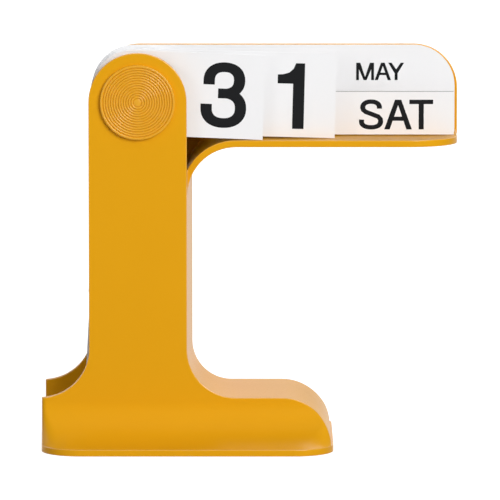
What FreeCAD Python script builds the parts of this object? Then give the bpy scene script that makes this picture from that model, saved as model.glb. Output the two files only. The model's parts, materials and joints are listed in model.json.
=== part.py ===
"""Perpetual desk calendar.

A hollow upright in one moulding carries an arm with a shelf. Thirty-three flat cards turn on one pin
through the top of the upright. A card in use lies along the arm, and the others hang down inside the
upright.

X runs to the right along the arm, Y runs back from the front plate, and Z runs up. The origin is the
middle of the rectangle that the calendar covers on the desk. Outlines of the body are drawn from the axis
of the upright and from the desk, and outlines of a card are drawn from the pin.
"""
import FreeCAD, Part
import math
import os
import re

import Sketcher
from FreeCAD import Rotation, Vector

# Driving sizes, in millimetres, with angles in degrees and the rest as plain numbers.
SIZES = [
    ("pivot_height", 142.7, "desk to the axis of the pin"),
    ("upright_offset", 46.15, "middle of the calendar to the axis of the upright"),
    ("upright_radius", 20, "half width and round top of the front plate"),
    ("wall_lean", 1.8, "how much further out the side wall stands at the rear plate"),
    ("foot_left", 39.4, "axis of the upright to the open end of the foot"),
    ("foot_right", 79.9, "axis of the upright to the closed end of the foot"),
    ("foot_height", 21.2, "desk to the top of the foot at the front plate"),
    ("foot_rise", 0.45, "how much higher the foot is at the rear plate"),
    ("foot_end_radius", 20, "rounded closed end of the foot"),
    ("end_inset", 0.8, "closed end of the foot, back from the end of the rim"),
    ("foot_fillet", 20.2, "hollow curve between foot and upright"),
    ("rear_fillet", 16.4, "the same curve at the rear plate, on the walled side"),
    ("under_arm_fillet", 20.3, "hollow curve between upright and arm"),
    ("arm_reach", 131.7, "axis of the upright to the end of the arm"),
    ("arm_rise", 19.5, "axis of the pin up to the top of the arm, and round top of the rear plate"),
    ("arm_drop", 19.1, "axis of the pin down to the underside of the arm"),
    ("arm_corner", 18, "rounded top corner of the arm"),
    ("base_depth", 91, "front rim to rear rim of the base"),
    ("plate_thickness", 3, "front and rear plates"),
    ("wall_thickness", 2.6, "side wall and foot top"),
    ("floor_thickness", 3, "floor inside the base"),
    ("rim_height", 2.7, "upright rim around the base"),
    ("flare_height", 16.3, "height of the flare above the rim"),
    ("flare_turn", 72, "how far the flare has turned outward at the rim"),
    ("flare_thickness", 4, "wall under the flare"),
    ("hollow_turn", 12, "where the space under the flare begins"),
    ("base_corner", 16, "corners of the rim, seen from above"),
    ("foot_corner", 1.8, "upright corners of the foot where the flare begins"),
    ("inner_corner", 1, "the same corners inside the wall"),
    ("shelf_setback", 6.8, "front plate back to the front edge of the shelf"),
    ("shelf_corner", 20.5, "front corner of the shelf, seen from above"),
    ("shelf_inset", 0.7, "end of the arm back to the end of the shelf"),
    ("shelf_thickness", 2.8, "underside of the shelf to its top"),
    ("pin_radius", 4, "pin"),
    ("pin_seat", 1, "depth of the pin's end in each end cap"),
    ("press_gap", 0.05, "gap around the pin in the plates and caps"),
    ("running_gap", 0.08, "gap around the pin in cards and washers"),
    ("cap_radius", 15.3, "end cap"),
    ("cap_thickness", 2, "end cap, which stands proud of the plate"),
    ("cap_edge", 0.5, "rounded edge of the end cap"),
    ("card_thickness", 0.7, "card"),
    ("card_gap", 0.3, "gap between neighbours on the pin"),
    ("card_back", 19.4, "pin to the round end of a card"),
    ("card_corner", 17.5, "large corner at the round end of a card"),
    ("short_upper", 20.6, "pin to the upper edge of a number card"),
    ("short_lower", 14.05, "pin to the lower edge of a number card"),
    ("weekday_upper", 19.6, "pin to the upper edge of a weekday card"),
    ("month_upper", 20.3, "pin to the upper edge of a month card"),
    ("month_corner", 17, "large corner at the tip of a month card"),
    ("long_lower", 15.7, "pin to the lower edge of a word card"),
    ("tens_length", 51.5, "pin to the tip of a tens card"),
    ("units_length", 80.8, "pin to the tip of a units card"),
    ("weekday_length", 129.6, "pin to the tip of a weekday card"),
    ("month_length", 130.2, "pin to the tip of a month card"),
    ("weekday_step", 78, "pin to the step of a weekday card"),
    ("weekday_step_height", 2.2, "axis of the pin up to the low end of a weekday card"),
    ("washer_radius", 7, "washers on the pin"),
    ("washer_thickness", 1, "washer between two groups of cards"),
    ("first_card", 4.35, "inner face of the front plate to the first card"),
    ("last_card", 4.75, "gap behind the last card to the inner face of the rear plate"),
    ("tens_droop", 2.3, "raised tens card below level"),
    ("units_droop", 1.4, "raised units card below level"),
    ("tens_lean", 5.1, "hanging tens card out of plumb"),
    ("units_lean", 4.6, "hanging units card out of plumb"),
    ("weekday_lean", 2.5, "hanging weekday card out of plumb"),
    ("month_lean", 3.2, "hanging month card out of plumb"),
    ("overrun", 5, "how far cuts run past the body"),
]
NAMES = {name for name, value, meaning in SIZES}

# Angles of the flare's level sections, as shares of its turn, from the plate down to the rim.
FLARE_SHARES = (0, 1 / 6, 2 / 6, 3 / 6, 4 / 6, 5 / 6, 1)
QUARTER_TURN = 90
FULL_TURN = 360

# Each group of cards from the front plate to the rear: its name, its cards and the one that is raised.
TENS = ("tens", ("3", "2", "1", "0"), "3")
UNITS = ("units", ("0", "1", "2", "3", "4", "5", "6", "7", "8", "9"), "1")
WEEKDAYS = ("weekday", ("sun", "sat", "fri", "thu", "wed", "tue", "mon"), "sat")
MONTHS = (
    "month",
    ("jan", "feb", "mar", "apr", "may", "jun", "jul", "aug", "sep", "oct", "nov", "dec"),
    "may",
)

GROUPS = (TENS, UNITS, WEEKDAYS, MONTHS)

# The body is as deep as the stack on the pin needs, over both plates.
CARD_COUNT = sum(len(cards) for title, cards, raised in GROUPS)
BODY_DEPTH = (
    f"(2 * plate_thickness + first_card + {CARD_COUNT} * (card_thickness + card_gap)"
    f" + {len(GROUPS) - 1} * (washer_thickness + card_gap) + last_card)"
)

doc = FreeCAD.newDocument("desk_calendar")


def write_sheet():
    """Puts the driving sizes in a spreadsheet, one row each."""
    sheet = doc.addObject("Spreadsheet::Sheet", "Sizes")
    for row, (name, value, meaning) in enumerate(SIZES, start=1):
        sheet.set(f"A{row}", name)
        sheet.set(f"B{row}", str(value))
        sheet.setAlias(f"B{row}", name)
        sheet.set(f"C{row}", meaning)
    doc.recompute()
    return sheet


sheet = write_sheet()


def linked(text):
    """The expression with the body's depth worked out and each size's name pointed at the sheet."""

    def pointed(word):
        return "Sizes." + word.group() if word.group() in NAMES else word.group()

    return re.sub(r"[a-z_]+", pointed, text.replace("body_depth", BODY_DEPTH))


def number(text):
    """The present value of an expression."""
    value = sheet.evalExpression(linked(text))
    return float(getattr(value, "Value", value))


def bind(item, **expressions):
    """Ties properties of an object to the sheet."""
    for path, text in expressions.items():
        item.setExpression(path.replace("__", "."), linked(text))


def bind_distance(sketch, kind, piece, end, text):
    """Ties one coordinate of a point in a sketch to the sheet, or holds it on the axis where it is zero."""
    if text == "0":
        axis = -2 if kind == "DistanceX" else -1
        sketch.addConstraint(Sketcher.Constraint("PointOnObject", piece, end, axis))
        return
    index = sketch.addConstraint(Sketcher.Constraint(kind, -1, 1, piece, end, number(text)))
    sketch.setExpression(f"Constraints[{index}]", linked(text))


def arc_between(start, end, radius, turn):
    """The smaller arc from start to end, to the left with turn 1 and to the right with turn -1."""
    chord = end - start
    left = Vector(-chord.y, chord.x, 0).normalize()
    rise = math.sqrt(max(radius**2 - (chord.Length / 2) ** 2, 0))
    centre = (start + end) / 2 + left * turn * rise
    first, last = (start, end) if turn > 0 else (end, start)
    angles = [math.atan2(point.y - centre.y, point.x - centre.x) for point in (first, last)]
    if angles[1] < angles[0]:
        angles[1] += math.radians(FULL_TURN)
    return Part.ArcOfCircle(Part.Circle(centre, Vector(0, 0, 1), radius), *angles)


def draw_outline(sketch, points):
    """Draws a closed outline in a sketch and ties it to the sheet.

    Each point is (across, up, arc), where arc is None for a straight edge to the next point, or the arc's
    radius and its turn.
    """
    places = [Vector(number(across), number(up), 0) for across, up, arc in points]
    starts = []
    for index, (across, up, arc) in enumerate(points):
        here, there = places[index], places[(index + 1) % len(points)]
        if arc:
            sketch.addGeometry(arc_between(here, there, number(arc[0]), arc[1]))
        else:
            sketch.addGeometry(Part.LineSegment(here, there))
        starts.append(2 if arc and arc[1] < 0 else 1)
    for index, (across, up, arc) in enumerate(points):
        following = (index + 1) % len(points)
        joint = (index, 3 - starts[index], following, starts[following])
        sketch.addConstraint(Sketcher.Constraint("Coincident", *joint))
        bind_distance(sketch, "DistanceX", index, starts[index], across)
        bind_distance(sketch, "DistanceY", index, starts[index], up)
        if arc:
            radius = sketch.addConstraint(Sketcher.Constraint("Radius", index, number(arc[0])))
            sketch.setExpression(f"Constraints[{radius}]", linked(arc[0]))


def draw_circle(sketch, radius):
    """Draws a circle about the sketch's origin and ties its radius to the sheet."""
    index = sketch.addGeometry(Part.Circle(Vector(), Vector(0, 0, 1), number(radius)))
    sketch.addConstraint(Sketcher.Constraint("Coincident", index, 3, -1, 1))
    tied = sketch.addConstraint(Sketcher.Constraint("Radius", index, number(radius)))
    sketch.setExpression(f"Constraints[{tied}]", linked(radius))


def upright_sketch(name, points, depth):
    """A sketch that faces the front, at a distance behind the middle of the body."""
    sketch = doc.addObject("Sketcher::SketchObject", name)
    draw_outline(sketch, points)
    sketch.Placement.Rotation = Rotation(Vector(1, 0, 0), QUARTER_TURN)
    bind(sketch, Placement__Base__y=depth)
    return sketch


def level_sketch(name, points, height):
    """A sketch that faces up, at a height above the desk."""
    sketch = doc.addObject("Sketcher::SketchObject", name)
    draw_outline(sketch, points)
    bind(sketch, Placement__Base__z=height)
    return sketch


def extrude(name, sketch, length):
    """The solid that a sketch sweeps along the way that it faces."""
    solid = doc.addObject("Part::Extrusion", name)
    solid.Base = sketch
    solid.DirMode = "Normal"
    solid.Solid = True
    bind(solid, LengthFwd=length)
    return solid


def loft(name, sections, ruled):
    """The solid through a row of sketches."""
    solid = doc.addObject("Part::Loft", name)
    solid.Sections = sections
    solid.Solid = True
    solid.Ruled = ruled
    return solid


def combine(kind, name, shapes):
    """A fuse or a common of several solids."""
    solid = doc.addObject(kind, name)
    solid.Shapes = shapes
    solid.Refine = kind == "Part::MultiFuse"
    return solid


FOOT_END = "foot_right - end_inset"


def outer_points(round_top, lean, rise, fillet):
    """Outline of foot and upright, seen from the front."""
    wall = f"upright_radius + {lean}"
    top = f"foot_height + {rise}"
    tip = f"{top} + foot_fillet - sqrt(foot_fillet^2 - (upright_radius + foot_fillet - foot_left)^2)"
    return [
        ("-foot_left", "0", None),
        (FOOT_END, "0", None),
        (FOOT_END, f"{top} - foot_end_radius", ("foot_end_radius", 1)),
        (f"{FOOT_END} - foot_end_radius", top, None),
        (f"{wall} + {fillet}", top, (fillet, -1)),
        (wall, f"{top} + {fillet}", None),
        (wall, "pivot_height - arm_drop - under_arm_fillet", None),
        (round_top, "pivot_height", (round_top, 1)),
        ("0", f"pivot_height + {round_top}", (round_top, 1)),
        (f"-{round_top}", "pivot_height", None),
        ("-upright_radius", f"{top} + foot_fillet", ("foot_fillet", -1)),
        ("-foot_left", tip, None),
    ]


def inner_points(lean, rise, fillet, arm_fillet):
    """Outline of the space inside, open to the left, above the shelf and upward."""
    wall = f"upright_radius + {lean} - wall_thickness"
    foot_top = f"foot_height + {rise}"
    inner_fillet = f"{fillet} + wall_thickness"
    end = f"{FOOT_END} - foot_end_radius"
    end_radius = "foot_end_radius - wall_thickness"
    end_centre = f"{foot_top} - foot_end_radius"
    reach = f"{end} + sqrt(({end_radius})^2 - (floor_thickness - ({end_centre}))^2)"
    shelf_top = "pivot_height - arm_drop + shelf_thickness"
    curve = f"({arm_fillet} + wall_thickness)"
    top = "pivot_height + upright_radius + overrun"
    return [
        ("-foot_left - overrun", "floor_thickness", None),
        (reach, "floor_thickness", (end_radius, 1)),
        (end, f"{foot_top} - wall_thickness", None),
        (f"{wall} + {inner_fillet}", f"{foot_top} - wall_thickness", (inner_fillet, -1)),
        (wall, f"{foot_top} + {fillet}", None),
        (wall, f"{shelf_top} - {curve}", (curve, -1)),
        (f"{wall} + {curve}", shelf_top, None),
        ("arm_reach + overrun", shelf_top, None),
        ("arm_reach + overrun", top, None),
        ("-foot_left - overrun", top, None),
    ]


def shelf_points(lean, arm_fillet):
    """Outline of the shelf and of the curve that carries it on the side wall."""
    wall = f"upright_radius + {lean}"
    curve_foot = f"pivot_height - arm_drop - {arm_fillet}"
    bottom = "pivot_height - arm_drop"
    top = f"{bottom} + shelf_thickness"
    curve = f"({arm_fillet} + wall_thickness)"
    return [
        (wall, f"{curve_foot} - overrun", None),
        (wall, curve_foot, (arm_fillet, -1)),
        (f"{wall} + {arm_fillet}", bottom, None),
        ("arm_reach", bottom, None),
        ("arm_reach", top, None),
        (f"{wall} + {arm_fillet}", top, (curve, 1)),
        (f"{wall} - wall_thickness", f"{top} - {curve}", None),
        (f"{wall} - wall_thickness", f"{curve_foot} - overrun", None),
    ]


def arm_points():
    """Outline of the arm's rear plate, which ends halfway into the side wall and the shelf."""
    wall = "upright_radius + wall_lean - wall_thickness / 2"
    bottom = "pivot_height - arm_drop + wall_thickness / 2"
    top = "pivot_height + arm_rise"
    fillet = "rear_fillet + wall_thickness / 2"
    return [
        ("-arm_rise", "pivot_height", None),
        ("-arm_rise", f"{bottom} - ({fillet})", None),
        (wall, f"{bottom} - ({fillet})", (fillet, -1)),
        (f"{wall} + {fillet}", bottom, None),
        ("arm_reach", bottom, None),
        ("arm_reach", f"{top} - arm_corner", ("arm_corner", 1)),
        ("arm_reach - arm_corner", top, None),
        ("0", top, ("arm_rise", 1)),
    ]


def rounded_rectangle(left, right, half_depth, radius):
    """Outline of a rectangle with rounded corners, seen from above, with the front side first."""
    return [
        (f"{left} + {radius}", f"-({half_depth})", None),
        (f"{right} - ({radius})", f"-({half_depth})", (radius, 1)),
        (right, f"{radius} - ({half_depth})", None),
        (right, f"{half_depth} - ({radius})", (radius, 1)),
        (f"{right} - ({radius})", half_depth, None),
        (f"{left} + {radius}", half_depth, (radius, 1)),
        (left, f"{half_depth} - ({radius})", None),
        (left, f"{radius} - ({half_depth})", (radius, 1)),
    ]


def shelf_plan():
    """Outline of the shelf seen from above, with the rounded front corner at the free end."""
    front = "shelf_setback - body_depth / 2"
    end = "arm_reach - shelf_inset"
    return [
        ("0", front, None),
        (f"{end} - shelf_corner", front, ("shelf_corner", 1)),
        (end, f"{front} + shelf_corner", None),
        (end, "body_depth / 2", None),
        ("0", "body_depth / 2", None),
    ]


def flare_sections(name, inset, first, last):
    """Level sections of the flare, or of the space inside it, between two angles of its turn."""
    sections = []
    for index, share in enumerate(FLARE_SHARES):
        angle = f"({first} + {share} * ({last} - {first}))"
        opened = f"((1 - cos({angle})) / (1 - cos(flare_turn)))"
        half_depth = f"((body_depth + (base_depth - body_depth) * {opened}) / 2 - {inset} * cos({angle}))"
        height = f"rim_height + flare_height * (1 - sin({angle}) / sin(flare_turn)) - {inset} * sin({angle})"
        first_corner = "foot_corner" if inset == "0" else "inner_corner"
        corner = f"({first_corner} + (base_corner - foot_corner) * {opened})"
        points = rounded_rectangle(f"{inset} - foot_left", f"foot_right - {inset}", half_depth, corner)
        sections.append(level_sketch(f"{name}_{index}", points, height))
    return sections


def end_points(rise):
    """Outline over the foot's closed end, seen from the front, open below and to the left."""
    top = f"foot_height + {rise}"
    return [
        ("-foot_left - overrun", "-overrun", None),
        (FOOT_END, "-overrun", None),
        (FOOT_END, f"{top} - foot_end_radius", ("foot_end_radius", 1)),
        (f"{FOOT_END} - foot_end_radius", top, None),
        ("-foot_left - overrun", top, None),
    ]


def foot_block():
    """The flared foot before it is hollowed."""
    rim_points = rounded_rectangle("-foot_left", "foot_right", "base_depth / 2", "base_corner")
    rim = extrude("rim", level_sketch("rim_outline", rim_points, "0"), "rim_height")
    flare = loft("flare", flare_sections("flare_section", "0", "0", "flare_turn"), False)
    rises = [f"foot_rise * (1 {sign} base_depth / body_depth) / 2" for sign in "-+"]
    front = upright_sketch("foot_end_front", end_points(rises[0]), "-base_depth / 2")
    rear = upright_sketch("foot_end_rear", end_points(rises[1]), "base_depth / 2")
    end = loft("foot_end", [front, rear], True)
    ended = combine("Part::MultiCommon", "ended_flare", [flare, end])
    return combine("Part::MultiFuse", "foot_solid", [rim, ended])


def body_block():
    """Upright and top of the foot as a solid between the faces of the two plates."""
    front_points = outer_points("upright_radius", "0", "0", "foot_fillet")
    rear_points = outer_points("arm_rise", "wall_lean", "foot_rise", "rear_fillet")
    front = upright_sketch("front_outline", front_points, "-body_depth / 2")
    rear = upright_sketch("rear_outline", rear_points, "body_depth / 2")
    block = loft("upright_block", [front, rear], True)
    corner_points = rounded_rectangle("-foot_left", "foot_right", "body_depth / 2", "foot_corner")
    corners = level_sketch("corner_outline", corner_points, "rim_height + flare_height")
    column = extrude("corner_block", corners, "pivot_height + upright_radius + overrun")
    return combine("Part::MultiCommon", "upright_solid", [block, column])


def body_space():
    """All that is empty between the plates and under the flare."""
    front_points = inner_points("0", "0", "foot_fillet", "under_arm_fillet")
    rear_points = inner_points("wall_lean", "foot_rise", "rear_fillet", "rear_fillet")
    front = upright_sketch("inner_front", front_points, "-body_depth / 2")
    rear = upright_sketch("inner_rear", rear_points, "body_depth / 2")
    tunnel = loft("tunnel", [front, rear], True)
    between = doc.addObject("Part::Box", "between_plates")
    bind(
        between,
        Length="foot_left + arm_reach + 2 * overrun",
        Width="body_depth - 2 * plate_thickness",
        Height="pivot_height + upright_radius + overrun",
        Placement__Base__x="-foot_left - overrun",
        Placement__Base__y="plate_thickness - body_depth / 2",
    )
    space = combine("Part::MultiCommon", "inner_space", [tunnel, between])

    drop = "(flare_height + rim_height - floor_thickness)"
    last = f"(asin({drop} / (flare_height / sin(flare_turn) + flare_thickness)) / 1 deg)"
    sections = flare_sections("hollow_section", "flare_thickness", "hollow_turn", last)
    hollow = loft("flare_hollow", sections, False)
    inner_outline = upright_sketch("inner_envelope_outline", front_points, "base_depth / 2")
    inner_envelope = extrude("inner_envelope", inner_outline, "base_depth")
    under_flare = combine("Part::MultiCommon", "under_flare", [hollow, inner_envelope])
    return [space, under_flare, bore("pin_bore")]


def bore(name):
    """The pin's bore through both plates."""
    hole = doc.addObject("Part::Cylinder", name)
    hole.Placement.Rotation = Rotation(Vector(1, 0, 0), QUARTER_TURN)
    bind(
        hole,
        Radius="pin_radius + press_gap",
        Height="body_depth + 2 * overrun",
        Placement__Base__y="body_depth / 2 + overrun",
        Placement__Base__z="pivot_height",
    )
    return hole


def arm_shelf():
    """The shelf, with the curve under it and its rounded free corner."""
    front_points = shelf_points("0", "under_arm_fillet")
    rear_points = shelf_points("wall_lean", "rear_fillet")
    front = upright_sketch("shelf_front", front_points, "-body_depth / 2")
    rear = upright_sketch("shelf_rear", rear_points, "body_depth / 2")
    strip = loft("shelf_strip", [front, rear], True)
    plan = extrude("shelf_plan", level_sketch("shelf_plan_outline", shelf_plan(), "overrun"), "pivot_height")
    return combine("Part::MultiCommon", "shelf", [strip, plan])


def arm_plate():
    """The arm's rear plate."""
    outline = upright_sketch("arm_outline", arm_points(), "body_depth / 2")
    return extrude("arm_plate", outline, "plate_thickness")


def build_body():
    """The one-piece body: foot, upright, arm and shelf."""
    outside = combine("Part::MultiFuse", "outside", [foot_block(), body_block()])
    solid = combine("Part::MultiFuse", "outside_with_arm", [outside, arm_plate()])
    inside = combine("Part::MultiFuse", "inside", body_space())
    shell = doc.addObject("Part::Cut", "hollow_body")
    shell.Base = solid
    shell.Tool = inside
    shell.Refine = True
    body = combine("Part::MultiFuse", "body_shell", [shell, arm_shelf()])
    bind(body, Placement__Base__x="-upright_offset")
    return body


def body_sketch(body, name, role):
    """An empty sketch on one of a piece's own planes."""
    sketch = body.newObject("Sketcher::SketchObject", name)
    plane = next(item for item in body.Origin.OriginFeatures if item.Role == role)
    sketch.AttachmentSupport = [(plane, "")]
    sketch.MapMode = "FlatFace"
    return sketch


def put_on_pin(piece, depth):
    """Sets a piece's own origin on the axis of the pin."""
    bind(piece, Placement__Base__x="-upright_offset", Placement__Base__y=depth)
    bind(piece, Placement__Base__z="pivot_height")


def build_pin():
    """The pin from cap to cap."""
    pin = doc.addObject("Part::Cylinder", "pivot_pin")
    pin.Placement.Rotation = Rotation(Vector(1, 0, 0), QUARTER_TURN)
    bind(pin, Radius="pin_radius", Height="body_depth + 2 * pin_seat")
    put_on_pin(pin, "body_depth / 2 + pin_seat")
    return pin


def build_cap(name, side):
    """A round end cap with a seat for the pin: side -1 is the front plate and side 1 the rear plate."""
    cap = doc.addObject("PartDesign::Body", name)
    profile = body_sketch(cap, f"{name}_profile", "XY_Plane")
    seat = "pin_radius + press_gap"
    draw_outline(
        profile,
        [
            ("0", "pin_seat + press_gap", None),
            (seat, "pin_seat + press_gap", None),
            (seat, "0", None),
            ("cap_radius", "0", None),
            ("cap_radius", "cap_thickness - cap_edge", ("cap_edge", 1)),
            ("cap_radius - cap_edge", "cap_thickness", None),
            ("0", "cap_thickness", None),
        ],
    )
    turned = cap.newObject("PartDesign::Revolution", f"{name}_turned")
    turned.Profile = profile
    turned.ReferenceAxis = (profile, ["V_Axis"])
    turned.Angle = FULL_TURN
    cap.Placement.Rotation = Rotation(Vector(0, 0, 1), QUARTER_TURN * (1 - side))
    put_on_pin(cap, f"{side} * body_depth / 2")
    return cap


def build_washer(name, thickness, rear_face):
    """A washer on the pin, with its rear face at a distance behind the middle of the body."""
    washer = doc.addObject("PartDesign::Body", name)
    ring = body_sketch(washer, f"{name}_ring", "XZ_Plane")
    draw_circle(ring, "washer_radius")
    draw_circle(ring, "pin_radius + running_gap")
    pad = washer.newObject("PartDesign::Pad", f"{name}_pad")
    pad.Profile = ring
    bind(pad, Length=thickness)
    put_on_pin(washer, rear_face)
    return washer


def card_points(upper, lower, length):
    """Outline of a card: a round end about the pin, straight edges and a square tip."""
    back = "card_corner - card_back"
    middle = f"{upper} - card_corner"
    lower_corner = f"({lower} + {middle})"
    return [
        (back, upper, ("card_corner", 1)),
        ("-card_back", middle, (lower_corner, 1)),
        (f"{lower_corner} - card_back", f"-{lower}", None),
        (length, f"-{lower}", None),
        (length, upper, None),
    ]


def weekday_points():
    """Outline of a weekday card, whose low end leaves the month in view."""
    points = card_points("weekday_upper", "long_lower", "weekday_length")
    low_end = [
        ("weekday_length", "weekday_step_height", None),
        ("weekday_step", "weekday_step_height", None),
        ("weekday_step", "weekday_upper", None),
    ]
    return points[:-1] + low_end


def month_points():
    """Outline of a month card, with a large corner that follows the arm."""
    points = card_points("month_upper", "long_lower", "month_length")
    corner = [
        ("month_length", "month_upper - month_corner", ("month_corner", 1)),
        ("month_length - month_corner", "month_upper", None),
    ]
    return points[:-1] + corner


def build_card(name, points, rear_face, angle):
    """A card on the pin, turned up by an angle, with its rear face behind the middle of the body."""
    card = doc.addObject("PartDesign::Body", name)
    outline = body_sketch(card, f"{name}_outline", "XZ_Plane")
    draw_outline(outline, points)
    draw_circle(outline, "pin_radius + running_gap")
    pad = card.newObject("PartDesign::Pad", f"{name}_pad")
    pad.Profile = outline
    bind(pad, Length="card_thickness")
    card.Placement.Rotation = Rotation(Vector(0, -1, 0), number(angle))
    put_on_pin(card, rear_face)
    bind(card, Placement__Rotation__Angle=f"({angle}) * 1 deg")
    return card


def build_group(group, points, droop, lean, first_face):
    """One group of cards, where first_face is how far the first card's front is behind the body's middle."""
    title, cards, raised = group
    pieces = []
    for index, card in enumerate(cards):
        rear_face = f"{first_face} + card_thickness + {index} * (card_thickness + card_gap)"
        angle = f"-{droop}" if card == raised else f"3 * {QUARTER_TURN} - {lean}"
        pieces.append(build_card(f"{title}_{card}", points, rear_face, angle))
    return pieces


def build_stack():
    """Every card and washer on the pin, from the front plate to the rear plate."""
    layout = [
        (TENS, card_points("short_upper", "short_lower", "tens_length"), "tens_droop", "tens_lean"),
        (UNITS, card_points("short_upper", "short_lower", "units_length"), "units_droop", "units_lean"),
        (WEEKDAYS, weekday_points(), "0", "weekday_lean"),
        (MONTHS, month_points(), "0", "month_lean"),
    ]
    face = "(plate_thickness - body_depth / 2 + first_card)"
    pieces = [build_washer("front_spacer", "first_card - card_gap", f"{face} - card_gap")]
    for index, (group, points, droop, lean) in enumerate(layout):
        pieces += build_group(group, points, droop, lean, face)
        face = f"({face} + {len(group[1])} * (card_thickness + card_gap))"
        if group is not MONTHS:
            rear_face = f"{face} + washer_thickness"
            pieces.append(build_washer(f"group_washer_{index + 1}", "washer_thickness", rear_face))
            face = f"({face} + washer_thickness + card_gap)"
    pieces.append(build_washer("rear_spacer", "last_card", "body_depth / 2 - plate_thickness"))
    return pieces


def check(pieces):
    """Stops where an object of the document failed, or a piece has no good shape."""
    failed = [item.Name for item in doc.Objects if {"Invalid", "Error"} & set(item.State)]
    if failed:
        raise ValueError(f"failed objects: {failed}")
    for piece in pieces:
        if piece.Shape.isNull() or not piece.Shape.isValid() or not piece.Shape.Solids:
            raise ValueError(f"bad shape: {piece.Label}")


pieces = [build_body(), build_pin(), build_cap("front_cap", -1), build_cap("rear_cap", 1)] + build_stack()
doc.recompute()
check(pieces)
os.makedirs("parts", exist_ok=True)
for piece in pieces:
    piece.Shape.exportStep(f"parts/{piece.Label}.step")
body = pieces[0].Shape
print(f"{len(pieces)} pieces, body volume {body.Volume:.0f}, solids {len(body.Solids)}")
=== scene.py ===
# %% [markdown]
# A perpetual desk calendar in orange plastic. The imported model already holds every solid piece in its
# place: the hollow body, the pin, the washers and the thirty-three cards. This lesson gives them their
# finishes, turns the two ridged end caps, prints the cards, and sets up a plain studio. All lengths are in
# metres, and sizes that are easier to read in millimetres are multiplied by MM.

import bmesh
import bpy
import json
import math
from mathutils import Matrix, Vector
from mathutils.geometry import delaunay_2d_cdt


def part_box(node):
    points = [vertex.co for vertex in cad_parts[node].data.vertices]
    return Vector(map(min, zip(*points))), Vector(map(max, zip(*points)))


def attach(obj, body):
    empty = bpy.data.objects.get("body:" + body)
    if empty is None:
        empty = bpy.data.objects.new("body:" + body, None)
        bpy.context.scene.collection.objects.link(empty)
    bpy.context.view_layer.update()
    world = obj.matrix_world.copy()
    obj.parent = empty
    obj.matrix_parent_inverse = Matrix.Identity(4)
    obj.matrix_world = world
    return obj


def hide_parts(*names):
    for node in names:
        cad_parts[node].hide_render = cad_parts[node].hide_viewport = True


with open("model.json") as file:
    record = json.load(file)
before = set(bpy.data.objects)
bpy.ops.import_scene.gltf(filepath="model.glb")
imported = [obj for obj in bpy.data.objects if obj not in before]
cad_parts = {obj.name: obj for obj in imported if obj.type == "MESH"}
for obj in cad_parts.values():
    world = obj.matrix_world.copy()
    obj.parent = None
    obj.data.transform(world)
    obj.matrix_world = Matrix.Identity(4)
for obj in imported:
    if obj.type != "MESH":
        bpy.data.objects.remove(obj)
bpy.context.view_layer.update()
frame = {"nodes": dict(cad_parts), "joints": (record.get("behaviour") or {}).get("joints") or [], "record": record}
MM = 0.001
PIN = Vector((frame["joints"][0]["pos_m"][0], 0, frame["joints"][0]["pos_m"][2]))

# %% [markdown]
# The camera comes first, because every finish is judged through it. The picture was taken with a long lens
# from about two and a half metres, a little above the calendar and square to its front. A long lens keeps
# the uprights almost parallel. A camera in Blender looks down its own -Z, so a turn of 90 degrees about X
# looks level, and a smaller one looks down. The lens is given in pixels of the picture, and worked out in
# mm.

# %% Camera
FRAME_PIXELS = 500
LENS_PIXELS = 6077.9
CAMERA_PITCH = math.radians(7.03)

lens = bpy.data.cameras.new("studio_camera")
lens.sensor_width = 36
lens.lens = LENS_PIXELS / FRAME_PIXELS * lens.sensor_width
lens.clip_end = 100
camera = bpy.data.objects.new("studio_camera", lens)
camera.location = (-0.00035, -2.4871, 0.3857)
camera.rotation_euler = (math.pi / 2 - CAMERA_PITCH, 0, 0)
bpy.context.scene.collection.objects.link(camera)
bpy.context.scene.camera = camera
print("lens", round(lens.lens, 1), "mm")

# %% [markdown]
# The picture is shown with the plain Standard view, so a colour renders about as it is written. Every
# material here starts empty and is wired by a short function, because a function can be used again for a
# second finish of the same kind. Light Path tells which kind of ray is looking. The floor and the world
# both ask it, so that the backdrop can be white to the eye without throwing that much light on the
# calendar.

# %% Empty material, and the kind of ray
bpy.context.scene.view_settings.view_transform = "Standard"


def new_material(name):
    """An empty node material, with its nodes and links ready for shaders."""
    material = bpy.data.materials.new(name)
    material.use_nodes = True
    material.node_tree.nodes.clear()
    return material, material.node_tree.nodes, material.node_tree.links


def seen_directly(nodes, links):
    """A factor that is 1 for rays that look or mirror straight at something, and 0 for soft light."""
    path = nodes.new("ShaderNodeLightPath")
    first = nodes.new("ShaderNodeMath")
    first.operation = "MAXIMUM"
    second = nodes.new("ShaderNodeMath")
    second.operation = "MAXIMUM"
    links.new(path.outputs["Is Camera Ray"], first.inputs[0])
    links.new(path.outputs["Is Glossy Ray"], first.inputs[1])
    links.new(first.outputs[0], second.inputs[0])
    links.new(path.outputs["Is Transmission Ray"], second.inputs[1])
    return second.outputs[0]


print("view", bpy.context.scene.view_settings.view_transform)

# %% [markdown]
# The backdrop is plain white. A floor that is only lit would never be quite white, so its material adds a
# glow that only the camera and mirror-like rays see. All other rays see a plain matt floor that throws soft
# light back up. The shadow under the foot stays, because the matt part of the floor still takes it.

# %% Floor
FLOOR_GREY = 0.5
FLOOR_GLOW = 0.8
FLOOR_HALF = 6

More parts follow.
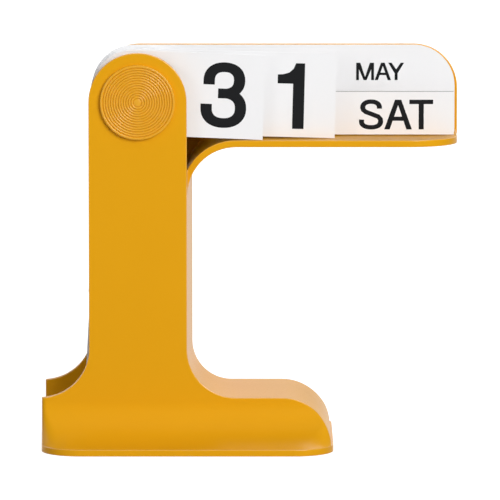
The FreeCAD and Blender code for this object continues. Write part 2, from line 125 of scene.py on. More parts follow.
floor_white, nodes, links = new_material("floor_white")
matt = nodes.new("ShaderNodeBsdfDiffuse")
matt.inputs["Color"].default_value = (FLOOR_GREY, FLOOR_GREY, FLOOR_GREY, 1)
glow = nodes.new("ShaderNodeEmission")
glow_strength = nodes.new("ShaderNodeMath")
glow_strength.operation = "MULTIPLY"
glow_strength.inputs[1].default_value = FLOOR_GLOW
links.new(seen_directly(nodes, links), glow_strength.inputs[0])
links.new(glow_strength.outputs[0], glow.inputs["Strength"])
both = nodes.new("ShaderNodeAddShader")
links.new(matt.outputs[0], both.inputs[0])
links.new(glow.outputs[0], both.inputs[1])
output = nodes.new("ShaderNodeOutputMaterial")
links.new(both.outputs[0], output.inputs["Surface"])

floor_mesh = bpy.data.meshes.new("floor")
corners = [(x * FLOOR_HALF, y * FLOOR_HALF, 0) for x, y in ((-1, -1), (1, -1), (1, 1), (-1, 1))]
floor_mesh.from_pydata(corners, [], [(0, 1, 2, 3)])
floor_mesh.materials.append(floor_white)
floor = bpy.data.objects.new("floor", floor_mesh)
bpy.context.scene.collection.objects.link(floor)
print("floor", 2 * FLOOR_HALF, "m across")

# %% [markdown]
# The world goes on behind the floor's far edge. It is white where the camera or a mirror looks, and only a
# faint fill for soft light, so that the shading comes from the lamps and the floor.

# %% World
WORLD_FILL = 0.03

world = bpy.data.worlds.new("studio_world")
bpy.context.scene.world = world
world.use_nodes = True
nodes, links = world.node_tree.nodes, world.node_tree.links
nodes.clear()
sky = nodes.new("ShaderNodeBackground")
sky.inputs["Color"].default_value = (1, 1, 1, 1)
strength = nodes.new("ShaderNodeMapRange")
strength.inputs["To Min"].default_value = WORLD_FILL
strength.inputs["To Max"].default_value = 1
links.new(seen_directly(nodes, links), strength.inputs["Value"])
links.new(strength.outputs[0], sky.inputs["Strength"])
world_output = nodes.new("ShaderNodeOutputWorld")
links.new(sky.outputs[0], world_output.inputs["Surface"])
print("world fill", WORLD_FILL)

# %% [markdown]
# The front of the calendar is lit almost evenly, with a soft shadow to the lower left of each raised edge.
# That is one large soft box high on the right, which gives most of the light, and a weak one on the left. A
# wide one above and in front lights the top of the foot. One behind draws a pale sheen on the surfaces that
# the camera sees at a low angle, and a last one at the left rear reaches into the open side of the foot.
# All of them are large, because a small lamp would show as a spot in the glossy plastic.

# %% Soft boxes
LIT_POINT = Vector((0, 0, 0.09))


def soft_box(name, place, size, watts):
    """A square area lamp that faces the middle of the calendar."""
    lamp = bpy.data.lights.new(name, "AREA")
    lamp.size = size
    lamp.energy = watts
    holder = bpy.data.objects.new(name, lamp)
    holder.location = place
    holder.rotation_euler = (LIT_POINT - Vector(place)).to_track_quat("-Z", "Y").to_euler()
    bpy.context.scene.collection.objects.link(holder)
    print(name, watts, "W")


soft_box("soft_box_right", (1.0, -1.95, 1.0), 1.2, 47)
soft_box("soft_box_left", (-1.5, -2.0, 0.7), 0.9, 6.7)
soft_box("soft_box_above", (0.3, -0.9, 2.2), 2.2, 11)
soft_box("soft_box_back", (0.2, 1.9, 1.5), 1.4, 29)
soft_box("soft_box_left_back", (-1.9, 0.7, 0.9), 1.2, 10.3)

# %% [markdown]
# The body is a single moulding in orange plastic. Its colour is nearly even, with the faint cloudiness of
# pigment, and its skin has a very fine ripple from the mould. The corners of a moulding are never knife
# sharp. They could be rounded in the mesh, but a Bevel node rounds them in the shading alone, so the solid
# keeps its shape and every edge still catches a thin line of light. Where the rounded normal leaves the
# face's own, the surface is at an edge, and there the plastic may shine more than on its faces.

# %% Moulded plastic
PIGMENT_SCALE, SKIN_SCALE = 28, 2600
SKIN_SMOOTHER, SKIN_ROUGHER = 0.03, 0.05
SKIN_STRENGTH = 0.25
EDGE_NONE, EDGE_FULL = 0.995, 0.93


def moulded_plastic(name, colour, darker, roughness, sheen, edge, ripple, edge_sheen):
    """Plastic with cloudy pigment, a fine ripple and softened edges that may shine more than the faces."""
    material, nodes, links = new_material(name)
    shader = nodes.new("ShaderNodeBsdfPrincipled")
    output = nodes.new("ShaderNodeOutputMaterial")
    links.new(shader.outputs[0], output.inputs["Surface"])
    place = nodes.new("ShaderNodeTexCoord")

    pigment = nodes.new("ShaderNodeTexNoise")
    pigment.inputs["Scale"].default_value = PIGMENT_SCALE
    pigment.inputs["Detail"].default_value = 3
    links.new(place.outputs["Object"], pigment.inputs["Vector"])
    tint = nodes.new("ShaderNodeMix")
    tint.data_type = "RGBA"
    tint.inputs["A"].default_value = (*darker, 1)
    tint.inputs["B"].default_value = (*colour, 1)
    links.new(pigment.outputs["Fac"], tint.inputs["Factor"])
    links.new(tint.outputs["Result"], shader.inputs["Base Color"])

    skin = nodes.new("ShaderNodeTexNoise")
    skin.inputs["Scale"].default_value = SKIN_SCALE
    skin.inputs["Detail"].default_value = 2
    links.new(place.outputs["Object"], skin.inputs["Vector"])
    gloss = nodes.new("ShaderNodeMapRange")
    gloss.inputs["To Min"].default_value = roughness - SKIN_SMOOTHER
    gloss.inputs["To Max"].default_value = roughness + SKIN_ROUGHER
    links.new(skin.outputs["Fac"], gloss.inputs["Value"])
    links.new(gloss.outputs[0], shader.inputs["Roughness"])

    rounded = nodes.new("ShaderNodeBevel")
    rounded.samples = 8
    rounded.inputs["Radius"].default_value = edge
    bump = nodes.new("ShaderNodeBump")
    bump.inputs["Strength"].default_value = SKIN_STRENGTH
    bump.inputs["Distance"].default_value = ripple
    links.new(skin.outputs["Fac"], bump.inputs["Height"])
    links.new(rounded.outputs["Normal"], bump.inputs["Normal"])
    links.new(bump.outputs["Normal"], shader.inputs["Normal"])
    face = nodes.new("ShaderNodeNewGeometry")
    turn = nodes.new("ShaderNodeVectorMath")
    turn.operation = "DOT_PRODUCT"
    links.new(rounded.outputs["Normal"], turn.inputs[0])
    links.new(face.outputs["Normal"], turn.inputs[1])
    shine = nodes.new("ShaderNodeMapRange")
    shine.inputs["From Min"].default_value = EDGE_FULL
    shine.inputs["From Max"].default_value = EDGE_NONE
    shine.inputs["To Min"].default_value = edge_sheen
    shine.inputs["To Max"].default_value = sheen
    links.new(turn.outputs["Value"], shine.inputs["Value"])
    links.new(shine.outputs[0], shader.inputs["Specular IOR Level"])
    return material


print("a recipe for moulded plastic")

# %% [markdown]
# The same recipe gives three plastics. The body has wide soft edges. The end caps are finely machined, with
# sharper edges and a little more shine, so that each ridge shows. The washers between the cards are darker
# and rougher, and sit in the shade on the pin.

# %% Three plastics
ORANGE, ORANGE_DEEP = (0.75, 0.355, 0.007), (0.73, 0.34, 0.006)
AMBER, AMBER_DEEP = (0.5, 0.24, 0.02), (0.45, 0.2, 0.015)

orange_plastic = moulded_plastic(
    "orange_plastic", ORANGE, ORANGE_DEEP,
    roughness=0.28, sheen=0.06, edge=0.7 * MM, ripple=0.002 * MM, edge_sheen=1)
cap_plastic = moulded_plastic(
    "cap_plastic", ORANGE, ORANGE_DEEP,
    roughness=0.25, sheen=0.4, edge=0.08 * MM, ripple=0.005 * MM, edge_sheen=0.4)
washer_plastic = moulded_plastic(
    "washer_plastic", AMBER, AMBER_DEEP,
    roughness=0.45, sheen=0.5, edge=0.15 * MM, ripple=0.02 * MM, edge_sheen=0.5)
print(orange_plastic.name, cap_plastic.name, washer_plastic.name)

# %% [markdown]
# The cards are thin white plastic sheet with a satin face. The ink is printed solid and is a little less
# shiny than the card. Both are an even colour with a mottle so fine that it only breaks up the shine.

# %% Card and ink
SPECK_SCALE = 900
SHEET_SPREAD = 0.04
SHEET_STRENGTH, SHEET_RELIEF = 0.15, 0.01 * MM


def satin_sheet(name, colour, roughness, sheen, mottle):
    """Thin sheet or ink: an even colour with a faint mottle and a satin face."""
    material, nodes, links = new_material(name)
    shader = nodes.new("ShaderNodeBsdfPrincipled")
    output = nodes.new("ShaderNodeOutputMaterial")
    links.new(shader.outputs[0], output.inputs["Surface"])
    place = nodes.new("ShaderNodeTexCoord")
    speck = nodes.new("ShaderNodeTexNoise")
    speck.inputs["Scale"].default_value = SPECK_SCALE
    speck.inputs["Detail"].default_value = 4
    links.new(place.outputs["Object"], speck.inputs["Vector"])
    tint = nodes.new("ShaderNodeMix")
    tint.data_type = "RGBA"
    tint.inputs["A"].default_value = (*[channel * (1 - mottle) for channel in colour], 1)
    tint.inputs["B"].default_value = (*colour, 1)
    links.new(speck.outputs["Fac"], tint.inputs["Factor"])
    links.new(tint.outputs["Result"], shader.inputs["Base Color"])
    gloss = nodes.new("ShaderNodeMapRange")
    gloss.inputs["To Min"].default_value = roughness - SHEET_SPREAD
    gloss.inputs["To Max"].default_value = roughness + SHEET_SPREAD
    links.new(speck.outputs["Fac"], gloss.inputs["Value"])
    links.new(gloss.outputs[0], shader.inputs["Roughness"])
    bump = nodes.new("ShaderNodeBump")
    bump.inputs["Strength"].default_value = SHEET_STRENGTH
    bump.inputs["Distance"].default_value = SHEET_RELIEF
    links.new(speck.outputs["Fac"], bump.inputs["Height"])
    links.new(bump.outputs["Normal"], shader.inputs["Normal"])
    shader.inputs["Specular IOR Level"].default_value = sheen
    return material


white_card = satin_sheet("white_card", (0.85, 0.85, 0.86), roughness=0.5, sheen=0.2, mottle=0.01)
black_ink = satin_sheet("black_ink", (0.006, 0.0065, 0.0075), roughness=0.6, sheen=0.1, mottle=0.15)
print(white_card.name, black_ink.name)

# %% [markdown]
# The pin is drawn steel. Drawing and turning leave fine lines round a rod, so a noise is stretched: it
# hardly changes across the pin and changes quickly along it. It only moves the roughness, as such lines do.

# %% Steel
STEEL_GREY = 0.6
LINES_ACROSS, LINES_ALONG = 20, 9000
STEEL_SMOOTH, STEEL_ROUGH = 0.22, 0.4


def drawn_steel(name):
    """Steel with fine lines round an axis along Y."""
    material, nodes, links = new_material(name)
    shader = nodes.new("ShaderNodeBsdfPrincipled")
    output = nodes.new("ShaderNodeOutputMaterial")
    links.new(shader.outputs[0], output.inputs["Surface"])
    shader.inputs["Metallic"].default_value = 1
    shader.inputs["Base Color"].default_value = (STEEL_GREY, STEEL_GREY, STEEL_GREY, 1)
    place = nodes.new("ShaderNodeTexCoord")
    stretch = nodes.new("ShaderNodeMapping")
    stretch.inputs["Scale"].default_value = (LINES_ACROSS, LINES_ALONG, LINES_ACROSS)
    lines = nodes.new("ShaderNodeTexNoise")
    lines.inputs["Scale"].default_value = 1
    links.new(place.outputs["Object"], stretch.inputs["Vector"])
    links.new(stretch.outputs[0], lines.inputs["Vector"])
    gloss = nodes.new("ShaderNodeMapRange")
    gloss.inputs["To Min"].default_value = STEEL_SMOOTH
    gloss.inputs["To Max"].default_value = STEEL_ROUGH
    links.new(lines.outputs["Fac"], gloss.inputs["Value"])
    links.new(gloss.outputs[0], shader.inputs["Roughness"])
    return material


pin_steel = drawn_steel("pin_steel")
print(pin_steel.name)

# %% [markdown]
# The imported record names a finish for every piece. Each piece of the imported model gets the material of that
# name, and its mesh stays as it is.

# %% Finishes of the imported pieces
FINISHES = {
    "orange_plastic": orange_plastic,
    "white_card": white_card,
    "pin_steel": pin_steel,
    "dark_plastic": washer_plastic,
}
slots = {row["node"]: row["material_slot"] for row in frame["record"]["subparts"]}
for node, piece in frame["nodes"].items():
    piece.data.materials.clear()
    piece.data.materials.append(FINISHES[slots[node]])
print(len(frame["nodes"]), "packed pieces dressed")

# %% [markdown]
# Each end of the pin wears a round cap with fine ridges turned into its face, like the grooves of a record.
# The cap under the ridges is a lathe shape: one outline of radius and height, with the seat for the pin in
# its back, turned about the pin's axis. Spin could make it too, but a few rings of corners are as quick to
# write, and they leave no doubled corners to merge.

# %% Outline turned about the pin
def finished(name, mesh):
    """A new object from a mesh in the making, with its faces turned outwards."""
    bmesh.ops.recalc_face_normals(mesh, faces=mesh.faces)
    data = bpy.data.meshes.new(name)
    mesh.to_mesh(data)
    mesh.free()
    piece = bpy.data.objects.new(name, data)
    bpy.context.scene.collection.objects.link(piece)
    return piece


def turned(name, outline, segments, side, face):
    """A closed shape turned about the pin. Each height of the outline stands off the plate's face."""
    mesh = bmesh.new()
    rings = []
    for radius, height in outline:
        y = face + side * height
        if radius == 0:
            rings.append([mesh.verts.new((PIN.x, y, PIN.z))])
            continue
        turns = [2 * math.pi * step / segments for step in range(segments)]
        places = [(PIN.x + radius * math.cos(turn), y, PIN.z + radius * math.sin(turn)) for turn in turns]
        rings.append([mesh.verts.new(place) for place in places])
    for low, high in zip(rings, rings[1:]):
        for step in range(segments):
            after = (step + 1) % segments
            ring = [low[step % len(low)], low[after % len(low)]]
            ring += [high[after % len(high)], high[step % len(high)]]
            mesh.faces.new(list(dict.fromkeys(ring)))
    return finished(name, mesh)


print("a lathe about", PIN)

# %% [markdown]
# The ridges repeat by a rule, so Geometry Nodes lay them. One circle is placed once for each ridge, each
# copy is scaled to its own radius, and a round profile then runs along all of them. Realize Instances comes
# before the sweep, so that the profile keeps its size while the circles grow. A flattening at the end makes
# the ridges a little lower than wide, and a quarter turn stands them on the upright face.

# %% Tree that lays the ridges
RING_POINTS, PROFILE_POINTS = 120, 10


def ridge_tree():
    """Rings of one profile about the pin, each a step wider than the last."""
    tree = bpy.data.node_groups.new("turned_ridges", "GeometryNodeTree")
    face = tree.interface
    face.new_socket("Geometry", in_out="INPUT", socket_type="NodeSocketGeometry")
    face.new_socket("Count", in_out="INPUT", socket_type="NodeSocketInt")
    for title in ("First Radius", "Step", "Half Width", "Flatness"):
        face.new_socket(title, in_out="INPUT", socket_type="NodeSocketFloat")
    face.new_socket("Centre", in_out="INPUT", socket_type="NodeSocketVector")
    face.new_socket("Finish", in_out="INPUT", socket_type="NodeSocketMaterial")
    face.new_socket("Geometry", in_out="OUTPUT", socket_type="NodeSocketGeometry")
    new, join = tree.nodes.new, tree.links.new
    given, result = new("NodeGroupInput"), new("NodeGroupOutput")

    seats = new("GeometryNodePoints")
    join(given.outputs["Count"], seats.inputs["Count"])
    circle = new("GeometryNodeCurvePrimitiveCircle")
    circle.inputs["Resolution"].default_value = RING_POINTS
    circle.inputs["Radius"].default_value = 1
    index = new("GeometryNodeInputIndex")
    radius = new("ShaderNodeMath")
    radius.operation = "MULTIPLY_ADD"
    join(index.outputs[0], radius.inputs[0])
    join(given.outputs["Step"], radius.inputs[1])
    join(given.outputs["First Radius"], radius.inputs[2])
    copies = new("GeometryNodeInstanceOnPoints")
    join(seats.outputs[0], copies.inputs["Points"])
    join(circle.outputs[0], copies.inputs["Instance"])
    join(radius.outputs[0], copies.inputs["Scale"])
    rings = new("GeometryNodeRealizeInstances")
    join(copies.outputs[0], rings.inputs[0])

    profile = new("GeometryNodeCurvePrimitiveCircle")
    profile.inputs["Resolution"].default_value = PROFILE_POINTS
    join(given.outputs["Half Width"], profile.inputs["Radius"])
    swept = new("GeometryNodeCurveToMesh")
    join(rings.outputs[0], swept.inputs["Curve"])
    join(profile.outputs[0], swept.inputs["Profile Curve"])
    flat = new("ShaderNodeCombineXYZ")
    flat.inputs["X"].default_value = flat.inputs["Y"].default_value = 1
    join(given.outputs["Flatness"], flat.inputs["Z"])
    stand = new("GeometryNodeTransform")
    join(swept.outputs[0], stand.inputs["Geometry"])
    join(flat.outputs[0], stand.inputs["Scale"])
    upright = new("GeometryNodeTransform")
    upright.inputs["Rotation"].default_value = (math.pi / 2, 0, 0)
    join(stand.outputs[0], upright.inputs["Geometry"])
    join(given.outputs["Centre"], upright.inputs["Translation"])

    whole = new("GeometryNodeJoinGeometry")
    join(given.outputs["Geometry"], whole.inputs[0])
    smooth = new("GeometryNodeSetShadeSmooth")
    join(upright.outputs[0], smooth.inputs["Geometry"])
    join(smooth.outputs[0], whole.inputs[0])
    real = new("GeometryNodeRealizeInstances")
    join(whole.outputs[0], real.inputs[0])
    finish = new("GeometryNodeSetMaterial")
    join(real.outputs[0], finish.inputs["Geometry"])
    join(given.outputs["Finish"], finish.inputs["Material"])
    join(finish.outputs[0], result.inputs[0])
    return tree


ridges = ridge_tree()
print(ridges.name, len(ridges.nodes), "nodes")

# %% [markdown]
# The cap's outline runs from the seat in its back, round the rim, over the rounded edge and down to the
# floor that the ridges stand on, and ends in a low button at the middle. Its sizes are in millimetres, from
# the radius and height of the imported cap, which it replaces.

# %% Outline of a cap
CAP_RADIUS, CAP_HEIGHT = 15.3, 2.0
SEAT_RADIUS, SEAT_DEPTH = 4.05, 1.05
GROOVE_FLOOR = 1.5
RIDGE_STEP, RIDGE_COUNT, FIRST_RIDGE = 1.03, 12, 2.235
RIDGE_HALF_WIDTH, RIDGE_FLATNESS = 0.45, 0.95


def rounded_corner(centre, radius, start, end, steps):
    """Points of a quarter round in an outline of radius and height."""
    angles = [math.radians(start + (end - start) * step / steps) for step in range(steps + 1)]
    return [(centre[0] + radius * math.cos(a), centre[1] + radius * math.sin(a)) for a in angles]


cap_outline = [(0, SEAT_DEPTH), (SEAT_RADIUS, SEAT_DEPTH), (SEAT_RADIUS, 0), (CAP_RADIUS, 0)]
cap_outline += rounded_corner((CAP_RADIUS - 0.5, CAP_HEIGHT - 0.5), 0.5, 0, 90, 6)
cap_outline += rounded_corner((CAP_RADIUS - 0.7, CAP_HEIGHT - 0.4), 0.4, 90, 165, 4)
cap_outline += [(CAP_RADIUS - 1.2, GROOVE_FLOOR), (FIRST_RIDGE - 0.55, GROOVE_FLOOR)]
cap_outline += [(FIRST_RIDGE - 0.7, CAP_HEIGHT - 0.25), (1.1, CAP_HEIGHT - 0.14), (0, CAP_HEIGHT - 0.12)]
print("outline with", len(cap_outline), "points")

# %% [markdown]
# A node tree is used here as a tool: it runs once, with its inputs set by the sockets' identifiers, and the
# result is kept as a plain mesh. The modifier then goes, so nothing is left to be worked out later. Both
# caps come from the same outline and the same tree, and the rear one is turned the other way.

# %% The two ridged caps
CAP_SEGMENTS = 120
CREASE = math.radians(30)


def laid(piece, tree, given):
    """Runs a node tree once with its named inputs and keeps the finished mesh."""
    modifier = piece.modifiers.new(tree.name, "NODES")
    modifier.node_group = tree
    for item in tree.interface.items_tree:
        if item.in_out == "INPUT" and item.name in given:
            modifier[item.identifier] = given[item.name]
    bpy.context.view_layer.update()
    whole = piece.evaluated_get(bpy.context.evaluated_depsgraph_get())
    mesh = bpy.data.meshes.new_from_object(whole)
    piece.modifiers.remove(modifier)
    piece.data = mesh


ridge_sizes = {
    "Count": RIDGE_COUNT,
    "First Radius": FIRST_RIDGE * MM,
    "Step": RIDGE_STEP * MM,
    "Half Width": RIDGE_HALF_WIDTH * MM,
    "Flatness": RIDGE_FLATNESS,
    "Finish": cap_plastic,
}
for node, side in (("front_cap", -1), ("rear_cap", 1)):
    low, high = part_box(node)
    face = high.y if side < 0 else low.y
    outline = [(radius * MM, height * MM) for radius, height in cap_outline]
    cap = turned(f"{node}_turned", outline, CAP_SEGMENTS, side, face)
    cap.data.polygons.foreach_set("use_smooth", [True] * len(cap.data.polygons))
    cap.data.set_sharp_from_angle(angle=CREASE)
    laid(cap, ridges, ridge_sizes | {"Centre": (PIN.x, face + side * GROOVE_FLOOR * MM, PIN.z)})
    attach(cap, "body")
    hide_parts(node)
    print(cap.name, len(cap.data.polygons), "faces")

# %% [markdown]
# The numbers and words are screen printed in black: plain upright capitals of one heavy weight. A text
# object with a font could write them, but a font belongs to someone, so each sign is drawn here the way a
# sign painter would: lines along a path, a little wider where they run upright than where they run level,
# and straight-sided patches. Curves are squared-off ovals. A sign is one unit tall.

# %% Lines and curves of the lettering
STEM, BAR = 0.172, 0.148
SQUARENESS = 2.25
ARC_STEP = 9
SAME_PLACE = 1e-6


def arc(x, y, wide, tall, start, end):
    """Points along a squared-off oval between two angles in degrees."""
    count = max(2, round(abs(end - start) / ARC_STEP))
    points = []
    for step in range(count + 1):
        turn = math.radians(start + (end - start) * step / count)
        across, up = math.cos(turn), math.sin(turn)
        across = math.copysign(abs(across) ** (2 / SQUARENESS), across)
        up = math.copysign(abs(up) ** (2 / SQUARENESS), up)
        points.append((x + wide * across, y + tall * up))
    return points


def line(*path):
    """Patches that cover a line drawn along a path. A path that ends where it starts is a ring."""
    points = [Vector(point) for point in path]
    ring = (points[0] - points[-1]).length < SAME_PLACE
    sides = []
    for step, here in enumerate(points):
        before = points[step - 1] if step else points[-2 if ring else 0]
        after = points[step + 1] if step + 1 < len(points) else points[1 if ring else -1]
        along = (after - before).normalized()
        half = 0.5 * math.hypot(STEM * along.y, BAR * along.x)
        across = Vector((-along.y, along.x)) * half
        sides.append((here + across, here - across))
    return [[a[0], a[1], b[1], b[0]] for a, b in zip(sides, sides[1:])]


def patch(*corners):
    """One straight-sided patch."""
    return [[Vector(corner) for corner in corners]]


def bar(left, low, right, high):
    """An upright or level bar."""
    return patch((left, low), (right, low), (right, high), (left, high))


def mirrored(patches, width):
    """The same patches seen in a mirror at the middle of a width."""
    return [[Vector((width - corner.x, corner.y)) for corner in each] for each in patches]


def upended(patches, width):
    """The same patches turned half round."""
    return [[Vector((width - corner.x, 1 - corner.y)) for corner in each] for each in patches]


print("line widths", STEM, BAR)

# %% [markdown]
# Each number is a width and its patches. The 0, the 6, the 9 and the 8 are ovals, the 2, the 3 and the 5
# are lines that turn round parts of ovals, and the others are straight. The 9 is the 6 turned half round.

# %% Numbers
signs = {}
signs["0"] = 0.69, line(*arc(0.345, 0.5, 0.259, 0.426, 0, 360))
signs["1"] = 0.41, patch(
    (0, 0.688), (0.235, 0.688), (0.235, 0), (0.41, 0), (0.41, 1), (0.273, 1), (0.239, 0.916), (0.173, 0.856),
    (0.08, 0.829), (0, 0.824))
signs["2"] = 0.68, bar(0, 0, 0.66, 0.15) + line(
    (0.09, 0.66), *arc(0.34, 0.70, 0.25, 0.224, 180, -10),
    (0.575, 0.62), (0.53, 0.53), (0.40, 0.41), (0.24, 0.29), (0.13, 0.19), (0.095, 0.10))
signs["3"] = 0.69, (
    line((0.112, 0.654), *arc(0.342, 0.724, 0.230, 0.200, 180, -90), (0.253, 0.5245))
    + line((0.253, 0.5245), *arc(0.341, 0.30, 0.261, 0.225, 90, -180), (0.08, 0.359)))
signs["4"] = 0.70, (bar(0.43, 0, 0.60, 1) + bar(0, 0.215, 0.70, 0.36)
                    + patch((0, 0.36), (0.165, 0.36), (0.56, 1), (0.42, 1)))
signs["5"] = 0.66, (
    bar(0.13, 0.855, 0.62, 1) + patch((0.13, 1), (0.28, 1), (0.225, 0.52), (0.07, 0.45))
    + line((0.12, 0.50), *arc(0.33, 0.335, 0.245, 0.26, 130, -180), (0.085, 0.30)))
six = line(*arc(0.34, 0.325, 0.254, 0.251, 0, 360)) + line(
    (0.59, 0.70), *arc(0.345, 0.72, 0.245, 0.206, 0, 90), *arc(0.345, 0.5, 0.259, 0.426, 90, 180)[1:],
    (0.086, 0.325))
signs["6"] = 0.68, six
signs["7"] = 0.64, bar(0, 0.85, 0.64, 1) + line(
    (0.555, 0.86), (0.43, 0.68), (0.33, 0.47), (0.27, 0.23), (0.25, 0))
signs["8"] = 0.68, (line(*arc(0.34, 0.73, 0.215, 0.196, 0, 360))
                    + line(*arc(0.34, 0.297, 0.254, 0.223, 0, 360)))
signs["9"] = 0.68, upended(six, 0.68)
print("numbers", "".join(signs))

# %% [markdown]
# The weekdays and months need twenty-two letters. Many share a part: the upright stem, the bowl of the P, R
# and B, the open curve of the C and G, and the halves of the letters that are their own mirror image.

# %% Letters
half_a = patch((0, 0), (0.185, 0), (0.465, 0.82), (0.465, 1), (0.36, 1))
signs["A"] = 0.93, half_a + mirrored(half_a, 0.93) + bar(0.2, 0.29, 0.73, 0.43)
signs["V"] = 0.86, [[Vector((c.x * 0.86 / 0.93, c.y)) for c in each]
                    for each in upended(half_a + mirrored(half_a, 0.93), 0.93)]
bowl = line((0.05, 0.926), (0.40, 0.926), *arc(0.40, 0.727, 0.2, 0.199, 90, -90)[1:], (0.05, 0.528))
stem = bar(0, 0, STEM, 1)
signs["P"] = 0.67, stem + bowl
signs["R"] = 0.72, stem + bowl + patch((0.33, 0.45), (0.52, 0), (0.72, 0), (0.53, 0.45))
signs["B"] = 0.70, stem + bowl + line(
    (0.05, 0.528), (0.40, 0.528), *arc(0.40, 0.301, 0.214, 0.227, 90, -90)[1:], (0.05, 0.074))
open_c = line(
    (0.725, 0.66), *arc(0.42, 0.68, 0.305, 0.246, 0, 90), *arc(0.42, 0.5, 0.334, 0.426, 90, 270)[1:],
    *arc(0.42, 0.32, 0.305, 0.246, 270, 360)[1:], (0.725, 0.345))
signs["C"] = 0.82, open_c
signs["G"] = 0.83, open_c + bar(0.44, 0.37, 0.80, 0.51) + bar(0.66, 0, 0.80, 0.45)
signs["D"] = 0.76, stem + line(
    (0.05, 0.926), (0.33, 0.926), *arc(0.33, 0.5, 0.344, 0.426, 90, -90)[1:], (0.05, 0.074))
signs["E"] = 0.66, stem + bar(0, 0, 0.66, BAR) + bar(0, 0.43, 0.60, 0.575) + bar(0, 1 - BAR, 0.65, 1)
signs["F"] = 0.62, stem + bar(0, 0.42, 0.57, 0.565) + bar(0, 1 - BAR, 0.62, 1)
signs["H"] = 0.74, stem + mirrored(stem, 0.74) + bar(0, 0.43, 0.74, 0.575)
signs["I"] = STEM, stem
signs["J"] = 0.556, line((0.47, 1), (0.47, 0.29), *arc(0.27, 0.29, 0.2, 0.216, 0, -180)[1:], (0.07, 0.36))
signs["L"] = 0.60, stem + bar(0, 0, 0.60, BAR)
half_m = bar(0, 0, 0.16, 1) + patch((0, 1), (0.425, 0), (0.51, 0), (0.51, 0.18), (0.235, 1))
signs["M"] = 1.02, half_m + mirrored(half_m, 1.02)
signs["N"] = 0.74, stem + mirrored(stem, 0.74) + patch((0, 1), (0.55, 0), (0.74, 0), (0.19, 1))
signs["O"] = 0.84, line(*arc(0.42, 0.5, 0.334, 0.437, 0, 360))
signs["S"] = 0.80, line(
    (0.68, 0.70), *arc(0.40, 0.735, 0.28, 0.20, 0, 180), (0.14, 0.66), (0.22, 0.59), (0.42, 0.515),
    (0.64, 0.43), (0.715, 0.345), *arc(0.40, 0.265, 0.32, 0.195, 0, -180), (0.085, 0.33))
signs["T"] = 0.80, bar(0, 1 - BAR, 0.80, 1) + bar(0.314, 0, 0.486, 1)
signs["U"] = 0.74, line((0.086, 1), (0.086, 0.34), *arc(0.37, 0.34, 0.284, 0.266, 180, 360)[1:], (0.654, 1))
half_w = patch((0, 1), (0.245, 0), (0.40, 0), (0.175, 1)) + patch((0.245, 0), (0.40, 0), (0.69, 1), (0.53, 1))
signs["W"] = 1.22, half_w + mirrored(half_w, 1.22)
half_y = patch((0, 1), (0.365, 0.40), (0.455, 0.37), (0.455, 0.62), (0.195, 1))
signs["Y"] = 0.91, half_y + mirrored(half_y, 0.91) + bar(0.369, 0, 0.541, 0.45)
print(len(signs), "signs")

# %% [markdown]
# Signs are set side by side, a gap apart. Slanted letters stand a little closer, and a few pairs closer
# still, as in good lettering. The patches of a sign overlap, so a Delaunay triangulation merges them all to
# one flat figure, with no doubled faces. A Boolean could do the same, but it is slower and less sure on
# flat shapes.

# %% Words as flat figures
GAP = 0.077
SLANTED, SLANT_CLOSER = "AVWY", -0.035
CLOSER = {"AT": -0.131, "AY": -0.2, "TA": -0.1, "PR": -0.02}
NO_AREA, MERGE_WITHIN = 1e-9, 1e-5
TRIANGLES_INSIDE = 1


def merged(patches):
    """Points and triangles of the one flat figure that all patches cover."""
    points, loops = [], []
    for each in patches:
        area = sum(a.x * b.y - b.x * a.y for a, b in zip(each, each[1:] + each[:1]))
        if abs(area) < NO_AREA:
            continue
        corners = each if area > 0 else each[::-1]
        loops.append(list(range(len(points), len(points) + len(corners))))
        points += corners
    flat, _, triangles, _, _, covered = delaunay_2d_cdt(points, [], loops, TRIANGLES_INSIDE, MERGE_WITHIN)
    return flat, [tuple(t) for t, inside in zip(triangles, covered) if inside]


def word_patches(word):
    """All patches of a word from its left edge, and the word's width in letter heights."""
    patches, left, last = [], 0, ""
    for letter in word:
        if last:
            left += GAP + CLOSER.get(last + letter, 0)
            left += SLANT_CLOSER if last in SLANTED or letter in SLANTED else 0
        width, figure = signs[letter]
        patches += [[corner + Vector((left, 0)) for corner in each] for each in figure]
        left += width
        last = letter
    return patches, left


print("gap between signs", GAP)

# %% [markdown]
# A print is a film of ink a few hundredths of a millimetre thick. Each one is a thin closed solid that
# rests on its card's front face and turns with that card. Its place is measured from the pin along the
# card, so a hanging card carries the same print as the raised one, turned with it. The film bites a hair
# into the card, so that no light passes under it. A weekday card also carries a fine dark line printed
# along its upper edge. This line is a painted shadow that stands for the thin shade at the card's top edge.

# %% Printing a card
INK = 0.03 * MM
BITE = 0.005 * MM


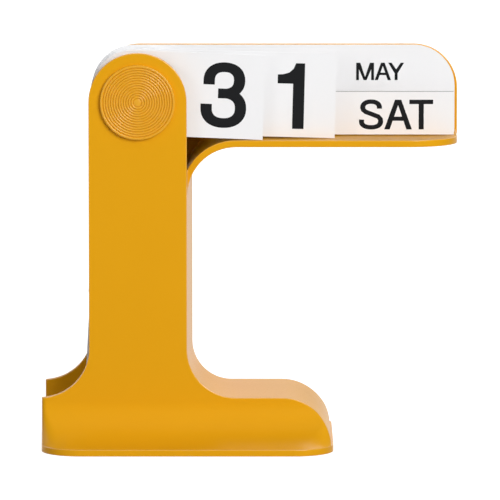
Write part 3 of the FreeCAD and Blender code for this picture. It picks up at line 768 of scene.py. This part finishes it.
def printed(name, word, height, base, angle, front, start=None, middle=None, painted_shadow_line=None):
    """The print of one card, from measures along the card and a turn about the pin.

    The fine line is a painted shadow along the card, given as its two ends and its lower and upper edge.
    """
    patches, width = word_patches(word)
    left = start if start is not None else middle - width * height / 2
    # The fine line is painted shadow: dark ink where a thin shade falls at the card's top edge.
    if painted_shadow_line:
        near_end, far_end, low, high = painted_shadow_line
        patches = patches + bar((near_end - left) / height, (low - base) / height,
                                (far_end - left) / height, (high - base) / height)
    flat, triangles = merged(patches)
    turn = Matrix.Rotation(angle, 2)
    corners = [turn @ Vector((left + point.x * height, base + point.y * height)) for point in flat]
    mesh = bmesh.new()
    near = [mesh.verts.new((PIN.x + c.x, front - INK, PIN.z + c.y)) for c in corners]
    far = [mesh.verts.new((PIN.x + c.x, front + BITE, PIN.z + c.y)) for c in corners]
    edges = {}
    for triangle in triangles:
        mesh.faces.new([near[i] for i in triangle])
        mesh.faces.new([far[i] for i in reversed(triangle)])
        for a, b in zip(triangle, triangle[1:] + triangle[:1]):
            edges[a, b] = True
    for a, b in edges:
        if (b, a) not in edges:
            mesh.faces.new((near[b], near[a], far[a], far[b]))
    for loose in [vert for vert in mesh.verts if not vert.link_faces]:
        mesh.verts.remove(loose)
    piece = finished(name, mesh)
    piece.data.materials.append(black_ink)
    return piece


print("ink", INK / MM, "mm thick")

# %% [markdown]
# Each group of cards has its own layout: the height of its signs, where their lower edge lies, and whether
# they are centred or start at a left edge. The raised number cards droop a little below level, and their
# print droops with them. A card that hangs at rest has turned down by the whole range of its joint, so its
# print is made turned by that range, and comes out upright when the card is raised.

# %% All thirty-three prints
PRINTS = {
    "tens": {"height": 26.95 * MM, "base": -9.8 * MM, "middle": 35.1 * MM, "droop": 2.3},
    "units": {"height": 26.95 * MM, "base": -10.65 * MM, "middle": 62.45 * MM, "droop": 1.4},
    "weekday": {"height": 12.25 * MM, "base": -13.6 * MM, "start": 90.65 * MM, "droop": 0,
                # The weekday card's fine line is painted shadow, printed in ink along its upper edge.
                "painted_shadow_line": (78.2 * MM, 129.4 * MM, 2.02 * MM, 2.16 * MM)},
    "month": {"height": 7.2 * MM, "base": 5.66 * MM, "start": 89.6 * MM, "droop": 0},
}
for joint in frame["joints"]:
    node = joint["name"].removesuffix("_turn")
    group, word = node.split("_")
    layout = dict(PRINTS[group])
    angle = -layout.pop("droop")
    lowest, highest = joint["range_deg"]
    if lowest < 0:
        angle += highest - lowest
    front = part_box(node)[0].y
    word_print = printed(f"{node}_print", word.upper(), angle=math.radians(angle), front=front, **layout)
    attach(word_print, joint["child"])
